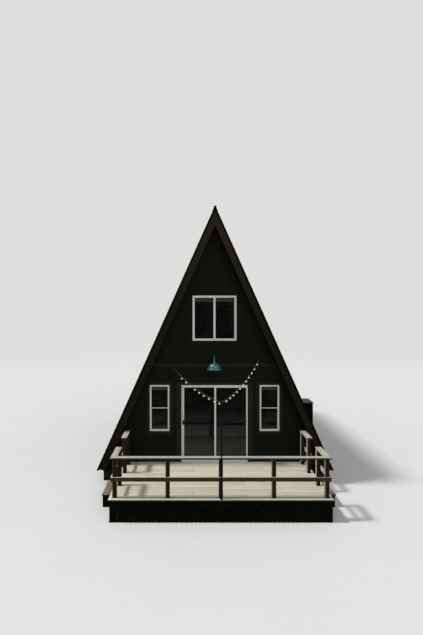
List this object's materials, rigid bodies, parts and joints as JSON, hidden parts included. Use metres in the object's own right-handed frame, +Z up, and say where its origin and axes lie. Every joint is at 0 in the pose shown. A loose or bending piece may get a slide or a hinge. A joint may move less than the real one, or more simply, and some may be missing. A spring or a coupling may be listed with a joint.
{
  "type": "a-frame cabin",
  "caption": "A-frame cabin with dark grooved gable walls, a sliding glass door, white windows, and a railed front deck with string lights.",
  "frame": {"origin": "on the ground, under the middle of the front wall's foundation", "axes": "+X to the right as seen from the deck, +Y from the front wall to the back, +Z up"},
  "size_m": [6.3626, 10.2, 7.3747],
  "materials": {
    "foundation": "rough painted block",
    "framing": "sawn softwood",
    "floor_boards": "oiled boards",
    "siding": "near-black grooved panels, flat paint",
    "trim_dark": "dark painted boards",
    "rake": "dark brown-charcoal painted boards",
    "lining": "stained boards",
    "shingles": "charcoal asphalt shingles",
    "window_white": "white satin frame",
    "glass": "clear glazing",
    "handle": "black satin",
    "deck": "weathered pale grey boards",
    "rail": "weathered dark brown-grey timber",
    "rail_top": "sun-bleached grey timber",
    "lattice": "dark painted slats",
    "teal": "teal enamel",
    "black_metal": "black satin",
    "bulb": "opal glass",
    "cable": "dark rubber cable",
    "cap": "pale grey cap"
  },
  "bodies": {
    "cabin": {"foundation_ends": "foundation", "foundation_sides": "foundation", "floor_rims": "framing", "floor_joists": "framing", "cabin_floor": "floor_boards", "loft_beams": "framing", "loft_floor": "floor_boards", "front_wall_left": "siding", "front_wall_right": "siding", "front_wall_header": "siding", "front_gable": "siding", "back_wall": "siding", "back_gable": "siding", "wall_bands": "trim_dark", "front_casings": "trim_dark", "back_casings": "trim_dark", "roof_left": "lining", "roof_right": "lining", "roof_cover_left": "shingles", "roof_cover_right": "shingles", "ridge_cap": "shingles", "front_rakes": "rake", "back_rakes": "rake", "upper_window_frame": "window_white", "side_window_frames": "window_white", "front_window_glass": "glass", "back_window_frames": "window_white", "back_window_glass": "glass", "door_frame": "window_white", "door_fixed_panel": "window_white", "door_fixed_glass": "glass", "deck_boards": "deck", "deck_rims": "framing", "deck_joists": "framing", "deck_posts": "framing", "front_lattice": "lattice", "side_lattices": "lattice", "front_rail_posts": "rail", "side_rail_posts": "rail", "front_rail_cap": "rail_top", "side_rail_caps": "rail_top", "front_mid_rail": "rail", "side_mid_rails": "rail", "step_treads": "deck", "step_boxes": "lattice", "lamp_arm": "teal", "lamp_shade": "teal", "lamp_bulb": "bulb", "light_pole": "black_metal", "wall_hooks": "black_metal", "string_cable_left": "cable", "string_cable_right": "cable", "string_bulbs": "bulb", "side_cupboard": "siding", "side_cupboard_cap": "cap"},
    "door_panel": {"door_sliding_panel": "window_white", "door_sliding_glass": "glass", "door_handle": "handle"}
  },
  "joints": [
    {"name": "door_slide", "type": "slide", "parent": "cabin", "child": "door_panel", "axis": [1, 0, 0], "range_m": [0, 0.78]}
  ]
}
